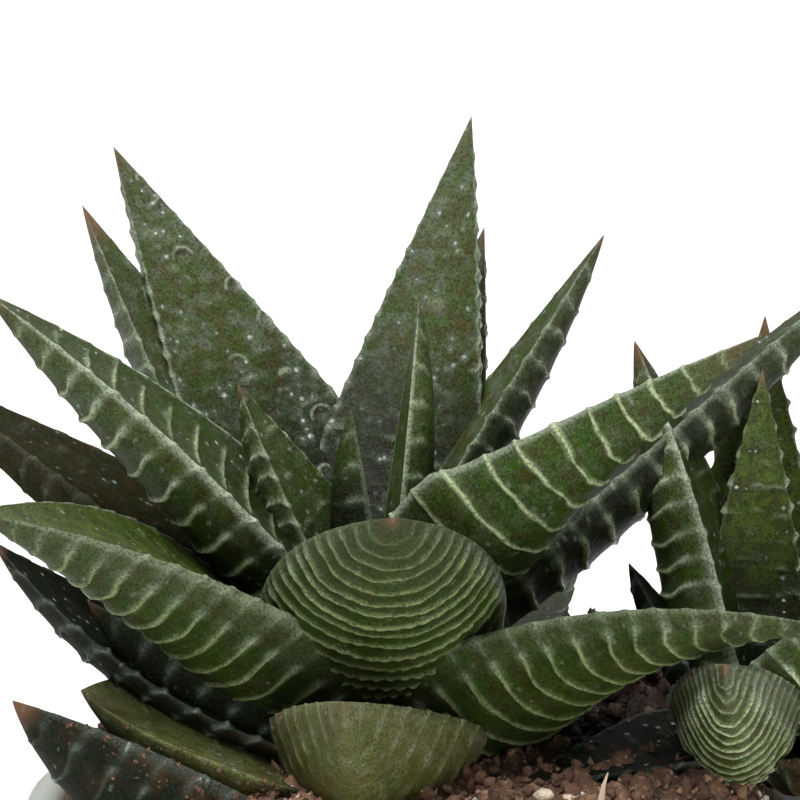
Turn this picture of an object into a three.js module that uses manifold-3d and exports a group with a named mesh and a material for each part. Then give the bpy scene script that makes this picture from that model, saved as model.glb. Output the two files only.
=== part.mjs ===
// A haworthia with thick, cross-ridged leaves and one smaller offset, planted in a round glazed pot.
// Millimetres, +Z up. The origin is the middle of the pot's base.

import * as THREE from 'three';
import Module from 'manifold-3d';

const wasm = await Module();
wasm.setup();

// Pot
const potBaseRadius = 33;
const potFootHeight = 1.2;
const potWallRadius = 43.2;
const potHeight = 78.2;
const lipRadius = 2.2;
const lipCentreRadius = 41.9;
const potInnerBaseRadius = 29;
const potFloor = 7;
const potSectors = 34;

// Soil
const soilSectors = 32;
const soilRings = [9, 17, 24, 30, 34.5, 37.8, 39.3];
const soilEdgeHeight = 78.5;
const soilFrontRise = 5.8;
const soilBackRise = 9.5;
const soilLump = 0.8;

// Rosette centres
const mainCentre = [-3, 0];
const offsetCentre = [37, 2];

// Stems
const stemBottom = 66;
const offsetStemFootShift = -6;
const mainStemRadius = 6;
const mainStemTopRadius = 2.6;
const mainStemShoulder = 85;
const mainStemTop = 102;
const offsetStemRadius = 3.4;
const offsetStemTopRadius = 1.4;
const offsetStemShoulder = 83;
const offsetStemTop = 90;
const stemSectors = 14;

// Clearances and leaf surface
const gap = 0.36;
const ridgeHeight = 0.5;
const mainRidgePitch = 4.8;
const offsetRidgePitch = 3.8;
const backRidgePitch = 6;
const firstRidge = 0.04;
const lastRidge = 0.92;
const baseOverrun = 2.5;
const roomStops = [0, 0.1, 0.22, 0.36, 0.55, 0.78, 1];
const bedStops = [0.2, 0.6, 1];
const broadUnderside = [-0.8, -0.3, 0.3, 0.8];
const keeledUnderside = [-0.72, 0, 0.72];
const leafTrim = 0.1;
const soilTrim = 0.2;

const degree = Math.PI / 180;

// One leaf: heading of its midline seen from above, rise above the level, length, width, depth,
// height of its base and distance of its base from the rosette's axis. The extras are bend (change
// of the rise from base to tip), roll and twist about the midline, the base's own direction and
// shift, the taper toward the tip, how far out it stays deep, the run of the base behind its start
// and the ridges' pitch.
function leaf(heading, rise, length, width, depth, height, ring, extra = {}) {
  const plain = {
    bend: 0, roll: 0, twist: 0, at: heading, dx: 0, dy: 0, taper: 1.25, deep: 2.6, run: baseOverrun,
  };
  return { ...plain, heading, rise, length, width, depth, height, ring, ...extra };
}

// Large rosette, from the bud outward
const mainLeaves = [
  leaf(10, 84, 31, 8, 4, 103, 1.5, { dx: -1.8 }),
  leaf(190, 84, 20, 9, 4, 102, 2.5),
  leaf(170, 56, 27, 13, 6, 101, 3, { bend: 4, roll: -15 }),
  leaf(15, 55, 47, 18, 5, 101, 4, { roll: -8, at: 130 }),
  leaf(65, 63, 58, 22, 7, 98, 4.5, { at: 120, taper: 1.1, pitch: 5.5 }),
  leaf(138, 52, 61, 25, 8, 98, 5, { roll: -15, taper: 1.1, pitch: 5.5 }),
  leaf(-16, 46, 48, 20, 5.5, 103.5, 5, { bend: -16, roll: -48, twist: 10, at: -40, taper: 0.65 }),
  leaf(-172, 50, 53, 24, 8, 100.8, 5.5, { bend: -16, roll: -9 }),
  leaf(67, 56, 52, 19, 6, 93, 5.5, { at: 100, taper: 1.1, pitch: 5.5 }),
  leaf(149, 54, 59, 22, 7, 93, 6, { taper: 1.15, pitch: 5.5 }),
  leaf(-88, 47, 48, 27, 8, 93, 4.5, { bend: -26, dx: -1.5, taper: 1.9 }),
  leaf(16, 38.5, 65, 18, 6, 97.5, 6, { bend: -2, roll: -10, taper: 1, pitch: 5.5 }),
  leaf(-146, 50, 56, 26, 10, 90, 6, { bend: -41, twist: -20 }),
  leaf(-36, 42, 60, 27, 8, 86, 6, { bend: -46, roll: -18, taper: 0.9, deep: 1.1 }),
  leaf(165, 32, 56, 26, 8, 95, 6.5, { bend: -4 }),
  leaf(-170, 14, 45, 28, 4.5, 86, 6.5, { bend: 34, roll: -10, taper: 1.6 }),
  leaf(-160, 32, 34, 22, 8, 85, 6.5),
  leaf(-97, 28, 40, 24, 12, 84, 6.5, { bend: -10 }),
  leaf(-176, 22, 26, 21, 7, 84, 6.5, { dx: -3.4, dy: -13, roll: -6, taper: 4, run: 4 }),
  leaf(-172, 29, 31, 28, 9.5, 78, 6.5, { dx: -8, dy: -12, roll: 12, taper: 2.6, run: 6 }),
];

// Leaves of the large rosette that point away at the back
const backLeaves = [
  leaf(96, 28, 50, 25, 7, 91, 6.5),
  leaf(128, 26, 50, 25, 7, 89, 6.5),
  leaf(62, 22, 46, 25, 7, 89, 6.5),
  leaf(75, 12, 34, 22, 6, 87, 6.5),
  leaf(108, 14, 44, 24, 6, 88, 6.5),
];

// Offset rosette, from the bud outward
const offsetLeaves = [
  leaf(80, 82, 34, 11, 4, 91, 1),
  leaf(163, 79, 40.7, 14, 8, 90, 2.5, { bend: -18, dx: 2.4 }),
  leaf(100, 76, 33, 15, 5, 89, 3),
  leaf(84, 70, 42, 15, 5, 89, 3),
  leaf(-55, 48, 33, 15, 6, 88, 3, { bend: -15 }),
  leaf(-96, 36, 34, 15, 9, 86, 3.5, { bend: -20, dx: -1.2 }),
  leaf(45, 55, 36, 15, 5, 87, 3.5),
  leaf(8, 38, 32, 14, 5, 87, 3.5),
  leaf(163, 54, 18.5, 9, 4, 88, 3.5),
  leaf(-140, -2, 31, 14, 5, 85.5, 4, { roll: -8 }),
  leaf(-45, 8, 26, 14, 5, 83, 4),
];

// The leaf's frame at a share s of its length: a point on the midline, the direction across the
// leaf to the left and the direction out of its upper face. The rise changes evenly with s, so the
// midline is a circular arc; it runs on straight past either end.
function frameAt(piece, s) {
  const inside = Math.min(Math.max(s, 0), 1);
  const start = piece.rise * degree;
  const turn = piece.bend * degree;
  const rise = start + turn * inside;
  const heading = piece.heading * degree;
  let forward = Math.cos(start) * inside;
  let upward = Math.sin(start) * inside;
  if (turn !== 0) {
    forward = (Math.sin(rise) - Math.sin(start)) / turn;
    upward = (Math.cos(start) - Math.cos(rise)) / turn;
  }
  forward += Math.cos(rise) * (s - inside);
  upward += Math.sin(rise) * (s - inside);
  const baseAngle = piece.at * degree;
  const point = new THREE.Vector3(
    piece.centre[0] + piece.dx + piece.ring * Math.cos(baseAngle) + piece.length * forward * Math.cos(heading),
    piece.centre[1] + piece.dy + piece.ring * Math.sin(baseAngle) + piece.length * forward * Math.sin(heading),
    piece.height + piece.length * upward,
  );
  const side = new THREE.Vector3(-Math.sin(heading), Math.cos(heading), 0);
  const face = new THREE.Vector3(
    -Math.sin(rise) * Math.cos(heading), -Math.sin(rise) * Math.sin(heading), Math.cos(rise),
  );
  const roll = (piece.roll + piece.twist * inside) * degree;
  const across = side.clone().multiplyScalar(Math.cos(roll)).addScaledVector(face, Math.sin(roll));
  const out = face.clone().multiplyScalar(Math.cos(roll)).addScaledVector(side, -Math.sin(roll));
  return { point, across, out };
}

// Half the leaf's width at s: a broad base that narrows in a flat curve to the point
function halfWidth(piece, s) {
  const inside = Math.min(Math.max(s, 0), 1);
  let share = 0.82 + 0.18 * Math.sin(inside / 0.22 * Math.PI / 2);
  if (inside > 0.22) share = 1 - ((inside - 0.22) / 0.78) ** piece.taper;
  return piece.width / 2 * share;
}

// Thickness at s below the plane of the margins
function thickness(piece, s) {
  const inside = Math.min(Math.max(s, 0), 1);
  const swell = 0.8 + 0.2 * Math.sin(Math.min(inside / 0.3, 1) * Math.PI / 2);
  return piece.depth * swell * (1 - inside ** piece.deep) ** 0.9;
}

// A point of the leaf's section at s. The section is a D: a flat upper face between two margins
// and a rounded underside. proud is how far a ridge lifts it.
function sectionPoint(piece, s, u, proud) {
  const frame = frameAt(piece, s);
  const half = halfWidth(piece, s);
  const edge = 0.12 * half;
  const depth = (thickness(piece, s) + edge + proud) * (1 - u * u) ** 0.75;
  return frame.point.clone()
    .addScaledVector(frame.across, u * (half + proud))
    .addScaledVector(frame.out, edge - depth);
}

// A closed solid from rings of points, each ring joined to the next, with flat or pointed ends
function solidFromRings(rings, tip) {
  const vertices = rings.flat().flatMap((point) => point.toArray());
  const count = rings[0].length;
  const triangles = [];
  for (let row = 0; row < rings.length - 1; row++) {
    for (let i = 0; i < count; i++) {
      const here = row * count + i;
      const next = row * count + (i + 1) % count;
      triangles.push(here, next, next + count);
      triangles.push(here, next + count, here + count);
    }
  }
  for (let i = 1; i < count - 1; i++) {
    triangles.push(0, i + 1, i);
  }
  const last = (rings.length - 1) * count;
  if (tip) {
    vertices.push(...tip.toArray());
    const point = rings.length * count;
    for (let i = 0; i < count; i++) {
      triangles.push(last + i, last + (i + 1) % count, point);
    }
  } else {
    for (let i = 1; i < count - 1; i++) {
      triangles.push(last, last + i, last + i + 1);
    }
  }
  return solid(vertices, triangles);
}

// A solid with its faces pointing out
function solid(vertices, triangles) {
  let volume = 0;
  const a = new THREE.Vector3();
  const b = new THREE.Vector3();
  const c = new THREE.Vector3();
  for (let i = 0; i < triangles.length; i += 3) {
    a.fromArray(vertices, 3 * triangles[i]);
    b.fromArray(vertices, 3 * triangles[i + 1]);
    c.fromArray(vertices, 3 * triangles[i + 2]);
    volume += a.dot(b.cross(c));
  }
  const facing = volume > 0 ? triangles : triangles.toReversed();
  return new wasm.Manifold(new wasm.Mesh({
    numProp: 3,
    vertProperties: new Float32Array(vertices),
    triVerts: new Uint32Array(facing),
  }));
}

// The leaf itself. Its rows run valley, crest, valley and so on, straight across the leaf, and each
// crest ends in a tooth at both margins.
function leafSolid(piece) {
  const ridges = Math.round((lastRidge - firstRidge) * piece.length / piece.pitch);
  const rings = [];
  const around = [1, -1, ...piece.underside];
  rings.push(around.map((u) => sectionPoint(piece, -piece.run / piece.length, u, 0)));
  for (let row = 0; row <= 2 * ridges; row++) {
    const s = firstRidge + (lastRidge - firstRidge) * row / (2 * ridges);
    const fade = Math.min(1, 2.5 * halfWidth(piece, s) / (piece.width / 2));
    const proud = row % 2 === 1 ? ridgeHeight * fade : 0;
    rings.push(around.map((u) => sectionPoint(piece, s, u, proud)));
  }
  return solidFromRings(rings, frameAt(piece, 1).point);
}

// The room that a leaf takes up, with the gap its neighbours keep
function leafRoom(piece, stops, slack) {
  const grow = gap + ridgeHeight + slack;
  const ends = [-(piece.run + gap) / piece.length, ...stops, 1 + 1 / piece.length];
  return solidFromRings(ends.map((s) => roomRing(piece, s, grow)), null);
}

function roomRing(piece, s, grow) {
  const frame = frameAt(piece, s);
  const half = halfWidth(piece, s) + grow;
  const edge = 0.12 * halfWidth(piece, s);
  const depth = thickness(piece, s) + edge + grow;
  const outline = [[half, edge + gap], [-half, edge + gap], [-half, edge - grow / 2]];
  for (const u of piece.underside) {
    outline.push([u * half, edge - depth * (1 - u * u) ** 0.75]);
  }
  outline.push([half, edge - grow / 2]);
  return outline.map(([x, z]) => frame.point.clone()
    .addScaledVector(frame.across, x)
    .addScaledVector(frame.out, z));
}

// A turned solid from a profile of radius and height pairs that starts and ends on the axis. A third
// number in a pair moves that ring along X.
function turned(profile, sectors, centre = [0, 0]) {
  const rings = profile.slice(1, -1).map(([radius, height, shift = 0]) => {
    const ring = [];
    for (let i = 0; i < sectors; i++) {
      const angle = 2 * Math.PI * i / sectors;
      ring.push(new THREE.Vector3(
        centre[0] + shift + radius * Math.cos(angle), centre[1] + radius * Math.sin(angle), height,
      ));
    }
    return ring;
  });
  return solidFromRings(rings, null);
}

function stemProfile(radius, topRadius, shoulder, top, footShift, grow) {
  return [
    [0, stemBottom - grow],
    [radius + grow, stemBottom - grow, footShift],
    [radius + grow, shoulder],
    [topRadius + grow, top + grow],
    [0, top + grow],
  ];
}

// Only the largest of the pieces that a cut leaves
function largest(body) {
  const parts = body.decompose();
  let best = parts[0];
  for (const part of parts) {
    if (part.volume() > best.volume()) best = part;
  }
  return best;
}

function boxesMeet(first, second) {
  const a = first.boundingBox();
  const b = second.boundingBox();
  return [0, 1, 2].every((axis) => a.min[axis] < b.max[axis] && b.min[axis] < a.max[axis]);
}

function cutClear(body, rooms, trim) {
  let result = body;
  for (const room of rooms) {
    if (boxesMeet(result, room)) result = largest(result.subtract(room));
  }
  return largest(result.simplify(trim));
}

// Height of the soil's surface: a mound that stands higher at the back, with uneven crumbs
function soilHeight(x, y) {
  const radius = Math.hypot(x, y);
  const back = THREE.MathUtils.smoothstep(y, -5, 33);
  const shoulder = 1 - Math.min(radius / soilRings.at(-1), 1) ** 10;
  const crumbs = Math.sin(0.61 * x + 1.3) * Math.cos(0.53 * y - 0.4)
    + 0.7 * Math.sin(1.07 * x - 0.83 * y) + 0.5 * Math.cos(0.9 * x + 1.31 * y + 0.6);
  return soilEdgeHeight + (soilFrontRise + soilBackRise * back + soilLump * crumbs) * shoulder;
}

function soilSolid() {
  const rings = [];
  const ringAt = (radius, height) => {
    const ring = [];
    for (let i = 0; i < soilSectors; i++) {
      const angle = 2 * Math.PI * i / soilSectors;
      const x = radius * Math.cos(angle);
      const y = radius * Math.sin(angle);
      ring.push(new THREE.Vector3(x, y, height ?? soilHeight(x, y)));
    }
    return ring;
  };
  rings.push(ringAt(potInnerBaseRadius - gap, potFloor + gap));
  rings.push(ringAt(soilRings.at(-1), soilEdgeHeight - 3));
  for (const radius of soilRings.toReversed()) {
    rings.push(ringAt(radius));
  }
  return solidFromRings(rings, new THREE.Vector3(0, 0, soilHeight(0, 0)));
}

// The pot's profile, outside, over the rolled lip and down the inside
function potProfile() {
  const profile = [
    [0, 0],
    [potBaseRadius, 0],
    [potBaseRadius + 1.4, potFootHeight],
    [38.6, 28],
    [41.8, 56],
    [potWallRadius, 71],
  ];
  const lipHeight = potHeight - lipRadius;
  for (let step = 0; step <= 5; step++) {
    const angle = (-20 + step * 40) * degree;
    profile.push([
      lipCentreRadius + lipRadius * Math.cos(angle),
      lipHeight + lipRadius * Math.sin(angle),
    ]);
  }
  profile.push([soilRings.at(-1) + gap, soilEdgeHeight - 4]);
  profile.push([potInnerBaseRadius, potFloor]);
  profile.push([0, potFloor]);
  return profile;
}

const part = new THREE.Group();

function addPiece(name, body, colour, roughness) {
  const data = body.getMesh();
  const geometry = new THREE.BufferGeometry();
  geometry.setAttribute('position', new THREE.BufferAttribute(new Float32Array(data.vertProperties), 3));
  geometry.setIndex(new THREE.BufferAttribute(new Uint32Array(data.triVerts), 1));
  geometry.computeVertexNormals();
  const material = new THREE.MeshStandardMaterial({ color: colour, roughness, metalness: 0 });
  const mesh = new THREE.Mesh(geometry, material);
  mesh.name = name;
  part.add(mesh);
}

const numbered = (name, index) => `${name}_${String(index + 1).padStart(2, '0')}`;

// Stems, then every leaf cut clear of the ones inside it
const mainStem = [mainStemRadius, mainStemTopRadius, mainStemShoulder, mainStemTop, 0];
const offsetStem = [
  offsetStemRadius, offsetStemTopRadius, offsetStemShoulder, offsetStemTop, offsetStemFootShift,
];
addPiece('main_stem', turned(stemProfile(...mainStem, 0), stemSectors, mainCentre), '#7d8465', 0.8);
addPiece('offset_stem', turned(stemProfile(...offsetStem, 0), stemSectors, offsetCentre), '#7d8465', 0.8);
const rooms = [
  turned(stemProfile(...mainStem, gap), stemSectors, mainCentre),
  turned(stemProfile(...offsetStem, gap), stemSectors, offsetCentre),
];

// The beds in the soil follow the leaves more loosely
const beds = [...rooms];

function addLeaves(leaves, name, centre, pitch, underside, colour) {
  leaves.forEach((spec, index) => {
    const piece = { centre, pitch, underside, ...spec };
    addPiece(numbered(name, index), cutClear(leafSolid(piece), rooms, leafTrim), colour, 0.45);
    rooms.push(leafRoom(piece, roomStops, 0.1));
    beds.push(leafRoom(piece, bedStops, 0.4));
  });
}

addLeaves(mainLeaves, 'main_leaf', mainCentre, mainRidgePitch, broadUnderside, '#5b6b45');
addLeaves(backLeaves, 'back_leaf', mainCentre, backRidgePitch, keeledUnderside, '#56643f');
addLeaves(offsetLeaves, 'offset_leaf', offsetCentre, offsetRidgePitch, keeledUnderside, '#4f6045');

addPiece('soil', cutClear(soilSolid(), beds, soilTrim), '#5a4636', 0.95);
addPiece('pot', turned(potProfile(), potSectors), '#c9cdc6', 0.25);

export default part;
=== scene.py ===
"""A haworthia with thick cross-ridged leaves and a small offset, in a glazed pot."""
import math

import bpy
import numpy as np
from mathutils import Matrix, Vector, noise


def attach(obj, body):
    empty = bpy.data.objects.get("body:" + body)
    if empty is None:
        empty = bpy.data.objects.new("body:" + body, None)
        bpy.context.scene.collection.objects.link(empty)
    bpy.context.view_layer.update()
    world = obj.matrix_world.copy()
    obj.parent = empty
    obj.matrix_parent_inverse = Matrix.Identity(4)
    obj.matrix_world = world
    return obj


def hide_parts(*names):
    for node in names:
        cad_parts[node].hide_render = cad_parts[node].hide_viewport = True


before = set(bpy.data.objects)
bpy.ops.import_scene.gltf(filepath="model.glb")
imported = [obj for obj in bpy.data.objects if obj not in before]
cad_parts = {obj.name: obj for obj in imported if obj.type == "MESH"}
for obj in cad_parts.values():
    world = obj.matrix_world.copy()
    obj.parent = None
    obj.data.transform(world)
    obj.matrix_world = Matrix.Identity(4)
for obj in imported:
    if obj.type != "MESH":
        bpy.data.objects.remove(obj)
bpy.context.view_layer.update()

MM = 0.001

# Camera, in millimetres and degrees
CAMERA_AT = (-2.2, -782.5, 289.1)
CAMERA_TILT = 12.0
CAMERA_LENS = 327.6
CAMERA_SENSOR = 36.0

# Soft square lights: name, place, point aimed at, size, watts and colour
LIGHTS = [
    ("overhead", (-150, -180, 850), (0, 0, 100), 420, 6.5, (1.0, 1.0, 1.0)),
    ("front_left", (-700, -700, 500), (0, 0, 100), 600, 0.6, (1.0, 0.98, 0.94)),
    ("low_front", (280, -860, 50), (0, 0, 95), 450, 1.5, (1.0, 0.97, 0.9)),
    ("low_bounce", (130, -320, 15), (15, 0, 90), 220, 0.8, (1.0, 0.99, 0.88)),
    ("sparkle", (-240, -440, 640), (0, 0, 100), 110, 1.3, (1.0, 1.0, 1.0)),
    ("floor_wash", (0, 950, 950), (0, 800, 0), 1300, 13.0, (1.0, 1.0, 1.0)),
]
STUDIO_AIR = (0.97, 0.98, 1.0, 1.0)
STUDIO_AIR_STRENGTH = 0.2

# Pot
POT_BASE_RADIUS = 33.0
POT_FOOT_HEIGHT = 1.2
POT_WALL_RADIUS = 43.2
POT_HEIGHT = 78.2
POT_LIP_RADIUS = 2.2
POT_LIP_CENTRE_RADIUS = 41.9
POT_INNER_BASE_RADIUS = 29.0
POT_FLOOR = 7.0
POT_SECTORS = 144
POT_WALL = [(36.9, 16.0), (38.6, 28.0), (40.4, 42.0), (41.8, 56.0), (42.8, 66.0)]

# Soil
SOIL_RADIUS = 39.3
SOIL_EDGE_HEIGHT = 78.5
SOIL_FRONT_RISE = 5.8
SOIL_BACK_RISE = 9.5
SOIL_LUMP = 0.8
SOIL_WALL = [(28.6, 7.4), (38.2, 66.0), (39.2, 75.6)]
SOIL_SECTORS = 230
SOIL_ROWS = 96
# Painted shade on the soil in the hollow between the two rosettes: its centre and reach, in
# millimetres
SOIL_SHADE_CENTRE = (20, 3)
SOIL_SHADE_REACH = 16.0

# Loose grains: how many, the smallest size in millimetres and how much larger they get
COARSE_CRUMBS = (2400, 0.25, 0.7)
FINE_CRUMBS = (3500, 0.16, 0.25)
CRUMB_TINTS = ["#5c4335", "#745543", "#916f58", "#3a2a20", "#ad8a73", "#c4a48c", "#d6bfaa"]
PERLITE = "#d9d4c8"
PERLITE_SHARE = 0.03

# Perlite at the front: place, size and tint
PLACED_GRAINS = [
    (13.4, -25.5, 84.6, 1.1, "#d9c9b6"),
    (16.2, -26.0, 84.2, 0.9, "#cdb9a2"),
]

# Grain shapes: how far a sphere is drawn out along each axis
GRAIN_STRETCHES = [(1, 1, 0.8), (1.5, 0.8, 0.6), (1, 1.2, 1), (1.6, 0.8, 0.6), (1.1, 1, 0.7)]
GRAIN_UNEVENNESS = 0.7

# Dried leaf tip that stands in the soil
SLIVER_AT = (19.2, -26.0, 84.4)
SLIVER_LENGTH = 6.0
SLIVER_RADIUS = 0.7
SLIVER_TIP_RADIUS = 0.08
SLIVER_LEAN = 0.9
SLIVER_FLATNESS = 0.45

# Rosettes
MAIN_CENTRE = (-3.0, 0.0)
OFFSET_CENTRE = (37.0, 2.0)

# Leaf form, as shares of the leaf's length, width or depth; the power rounds its D-shaped section
WIDEST_AT = 0.22
NECK_WIDTH = 0.82
THICKEST_AT = 0.3
NECK_DEPTH = 0.8
MARGIN_THICKNESS = 0.12
SECTION_POWER = 0.75
FIRST_RIDGE = 0.04
LAST_RIDGE = 0.93
LAST_ROW = 0.992

# Leaf surface, in millimetres
RIDGE_WIDTH = 0.24
RIDGE_FOOT = 0.9
RIDGE_WAVE = 0.42
RIDGE_HOOK = 0.8
BEAD_SPACING = 1.5
TOOTH_HEIGHT = 0.26
TOOTH_WIDTH = 0.45
END_BEAD_HEIGHT = 0.22

# Rows of the mesh across one ridge, counted in ridges from its crest
RIDGE_ROWS = (-0.5, -0.3, -0.17, -0.1, -0.055, -0.02, 0.02, 0.055, 0.1, 0.17, 0.3)

# The offset's leaves are smaller, with closer and lower ridges
OFFSET_COLUMNS = 72
OFFSET_PITCH = 3.0
OFFSET_RIDGE = 0.42


def leaf(heading, rise, length, width, depth, height, ring, **extra):
    """One leaf: the heading of its midline seen from above, its rise above the level, its length,
    width and depth, the height of its base and the distance of its base from the rosette's axis.
    The ends are how far out the underside's ridges run, toward the right and the left margin."""
    piece = dict(bend=0, roll=0, twist=0, at=heading, dx=0, dy=0, taper=1.25, deep=2.6, run=2.5,
                 pitch=3.8, ridge=0.5, ends=(0.82, 0.82), beads=0.25, wave=1.0, upper_ridge=0.05,
                 warts=0.3, wart_height=0.24, dots=0.5, arcs=0.0, teeth=1.0, edge=0.35, tip=0.35,
                 dried=0.7, wear=0.0, dark_base=0.0, flesh="fresh", columns=112)
    piece.update(heading=heading, rise=rise, length=length, width=width, depth=depth,
                 height=height, ring=ring)
    piece.update(extra)
    return piece


# Large rosette, from the bud outward
MAIN_LEAVES = [
    leaf(10, 84, 31, 8, 4, 103, 1.5, dx=-1.8, ridge=0.03, beads=0, upper_ridge=0, warts=0,
         teeth=0.2, edge=1.0, dried=0.2, flesh="young", columns=48),
    leaf(190, 84, 20, 9, 4, 102, 2.5, ridge=0.03, beads=0, upper_ridge=0, warts=0, teeth=0.2,
         edge=0.8, dark_base=0.6, dried=0.2, flesh="deep", columns=48),
    leaf(170, 56, 27, 13, 6, 101, 3, bend=4, roll=-15, pitch=2.8, ridge=0.36, dark_base=0.25,
         flesh="young", columns=64),
    leaf(15, 55, 47, 18, 5, 101, 4, roll=-8, at=130, flesh="grey"),
    leaf(65, 63, 58, 22, 7, 98, 4.5, at=120, taper=1.1, pitch=2.7, dots=1.0, dried=0.25,
         dark_base=0.32, flesh="grey", columns=80),
    leaf(138, 52, 61, 25, 8, 98, 5, roll=-15, taper=1.1, pitch=2.6, dots=1.0, arcs=1.0,
         dried=0.25, dark_base=0.32, flesh="grey", columns=88),
    leaf(-16, 46, 48, 20, 5.5, 103.5, 5, bend=-16, roll=-48, twist=10, at=-40, taper=0.65,
         ends=(1.3, 0.62), teeth=0.2, edge=0.6, tip=3.0, dried=0.15, columns=128),
    leaf(-172, 50, 53, 24, 8, 100.8, 5.5, bend=-16, roll=-9, edge=0.9, upper_ridge=0.6,
         dots=1.0, dark_base=0.15, columns=128),
    leaf(67, 56, 52, 19, 6, 93, 5.5, at=100, taper=1.1, tip=0.7, dots=1.0, dried=0.4,
         flesh="grey"),
    leaf(149, 54, 59, 22, 7, 93, 6, taper=1.15, tip=1.0, arcs=0.5, flesh="grey"),
    leaf(-88, 47, 48, 27, 8, 93, 4.5, bend=-26, dx=-1.5, taper=1.9, pitch=2.5, beads=0.9,
         wave=1.5, ends=(0.95, 0.95), teeth=0.0, edge=0.2, tip=0.15, dried=0.4, flesh="deep",
         columns=160),
    leaf(16, 38.5, 65, 18, 6, 97.5, 6, bend=-2, roll=-10, taper=1.0, dots=1.0, dried=0.25,
         dark_base=0.8, flesh="grey"),
    leaf(-146, 50, 56, 26, 10, 90, 6, bend=-41, twist=-20, pitch=3.4, edge=0.7, flesh="deep",
         columns=128),
    leaf(-36, 42, 60, 27, 8, 86, 6, bend=-46, roll=-18, taper=0.9, deep=1.1, pitch=3.4,
         flesh="deep", columns=128),
    leaf(165, 32, 56, 26, 8, 95, 6.5, bend=-4, flesh="old", ridge=0.2, wear=0.35),
    leaf(-170, 14, 45, 28, 4.5, 86, 6.5, bend=34, roll=-10, taper=1.6, flesh="shade", teeth=2.0,
         beads=1.0, edge=0.2, wear=0.2),
    leaf(-160, 32, 34, 22, 8, 85, 6.5, flesh="shade", ridge=0.2, dried=0.2),
    leaf(-97, 28, 40, 24, 12, 84, 6.5, bend=-10, flesh="dull", ridge=0.06, beads=0.6, dried=0.2,
         wear=0.2),
    leaf(-176, 22, 26, 21, 7, 84, 6.5, dx=-3.4, dy=-13, roll=-6, taper=4, run=4,
         flesh="dull", ridge=0.15, beads=1.0, teeth=0.3, edge=0.1, dots=1.0, tip=0.5, dried=0.2,
         wear=0.35),
    leaf(-172, 29, 31, 28, 9.5, 78, 6.5, dx=-8, dy=-12, roll=12, taper=2.6, run=6,
         flesh="shade", dots=1.0, tip=1.0, wear=0.5),
]

# Leaves of the large rosette that point away at the back
BACK_LEAVES = [
    leaf(96, 28, 50, 25, 7, 91, 6.5, columns=44),
    leaf(128, 26, 50, 25, 7, 89, 6.5, columns=44),
    leaf(62, 22, 46, 25, 7, 89, 6.5, columns=44),
    leaf(75, 12, 34, 22, 6, 87, 6.5, flesh="old", columns=44, wear=0.3),
    leaf(108, 14, 44, 24, 6, 88, 6.5, flesh="old", columns=44, wear=0.3),
]

# Offset rosette, from the bud outward
OFFSET_LEAVES = [
    leaf(80, 82, 34, 11, 4, 91, 1, warts=0.9, teeth=2.0, dots=1.0, dark_base=0.25, flesh="deep"),
    leaf(163, 79, 40.7, 14, 8, 90, 2.5, bend=-18, dx=2.4, tip=0.8, edge=0.9, dots=1.0),
    leaf(100, 76, 33, 15, 5, 89, 3, warts=0.8, dots=1.0, teeth=2.0, flesh="deep"),
    leaf(84, 70, 42, 15, 5, 89, 3, flesh="deep", tip=0.8, teeth=2.0, warts=0.9, dots=1.0,
         dark_base=0.25),
    leaf(-55, 48, 33, 15, 6, 88, 3, bend=-15),
    leaf(-96, 36, 34, 15, 9, 86, 3.5, bend=-20, dx=-1.2, beads=0.6, wave=1.2, pitch=2.2,
         ridge=0.42, wear=0.3),
    leaf(45, 55, 36, 15, 5, 87, 3.5),
    leaf(8, 38, 32, 14, 5, 87, 3.5),
    leaf(163, 54, 18.5, 9, 4, 88, 3.5, flesh="shade"),
    leaf(-140, -2, 31, 14, 5, 85.5, 4, roll=-8, flesh="shade", dots=1.0, wear=0.4),
    leaf(-45, 8, 26, 14, 5, 83, 4, flesh="old", wear=0.4),
]

# Crumbs that cling to the lowest leaves: the leaf, how many, and the seed for their places
CLINGING_CRUMBS = [
    (MAIN_LEAVES[17], 30, 58),
    (MAIN_LEAVES[18], 90, 59),
    (MAIN_LEAVES[19], 260, 60),
    (OFFSET_LEAVES[5], 60, 46),
    (OFFSET_LEAVES[9], 90, 50),
    (OFFSET_LEAVES[10], 70, 51),
]


def linear(code):
    """The linear colour of an sRGB hex value."""
    parts = [int(code[i:i + 2], 16) / 255 for i in (1, 3, 5)]
    return [c / 12.92 if c <= 0.04045 else ((c + 0.055) / 1.055) ** 2.4 for c in parts] + [1.0]


def smooth(x, low, high):
    """0 below low, 1 above high and an easy slope between them."""
    t = np.clip((x - low) / (high - low), 0, 1)
    return t * t * (3 - 2 * t)


def add_node(tree, kind, inputs=None, **settings):
    """Adds a node, sets its properties, and sets or links its inputs."""
    node = tree.nodes.new(kind)
    for name, value in settings.items():
        setattr(node, name, value)
    for name, value in (inputs or {}).items():
        if isinstance(value, bpy.types.NodeSocket):
            tree.links.new(value, node.inputs[name])
        else:
            node.inputs[name].default_value = value
    return node


def new_material(name):
    """An empty material with its Principled shader, which the caller links."""
    material = bpy.data.materials.new(name)
    material.use_nodes = True
    return material, material.node_tree, material.node_tree.nodes["Principled BSDF"]


def select_only(piece):
    bpy.ops.object.select_all(action="DESELECT")
    piece.select_set(True)
    bpy.context.view_layer.objects.active = piece


def finish_piece(piece, material, slot, *nodes):
    """Gives the piece its material and its body, and hides the CAD nodes it stands for; the slot is
    not used.
    """
    piece.data.materials.clear()
    piece.data.materials.append(material)
    for polygon in piece.data.polygons:
        polygon.use_smooth = True
    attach(piece, "root")
    if nodes:
        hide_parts(*nodes)


# The leaf's form, the same as in the solids

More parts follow.
